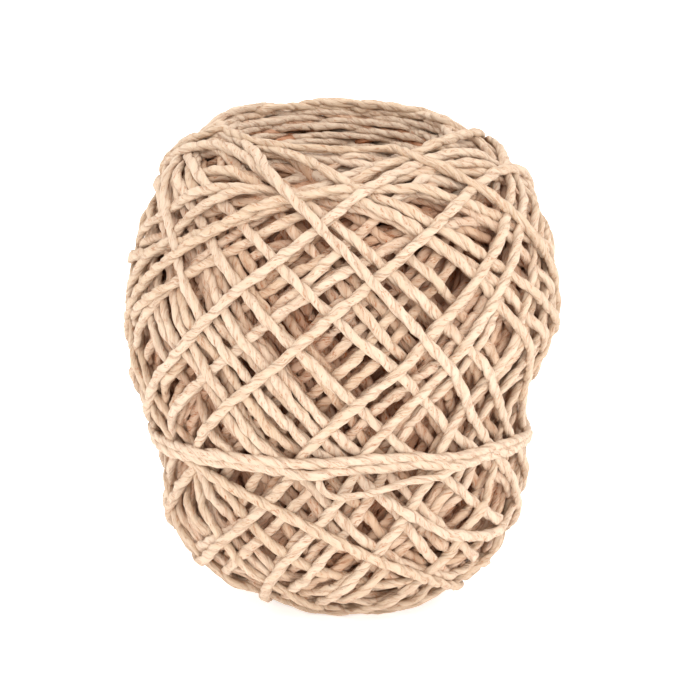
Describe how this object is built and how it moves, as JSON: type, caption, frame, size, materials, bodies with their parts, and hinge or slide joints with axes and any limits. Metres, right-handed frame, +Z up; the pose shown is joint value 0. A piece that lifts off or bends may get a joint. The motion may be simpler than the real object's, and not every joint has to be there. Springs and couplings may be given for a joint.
{
  "type": "ball of paper yarn",
  "caption": "Machine-wound ball of twisted paper yarn with a crater and a centre hole, two level turns round its waist and a tucked loose end.",
  "frame": {"origin": "on the resting face, under the middle of the ball's bounding box", "axes": "+Z up along the axis the ball was wound about, through its centre hole; the loose end and the pictured front face -Y"},
  "size_m": [0.0788, 0.0784, 0.0896],
  "materials": {
    "paper_yarn": "matt twisted paper, pale peach, darker and redder in the gaps",
    "loose_yarn": "matt twisted paper, pale peach"
  },
  "bodies": {
    "root": {"wound_ball": "paper_yarn", "tail_end": "loose_yarn"}
  },
  "joints": []
}
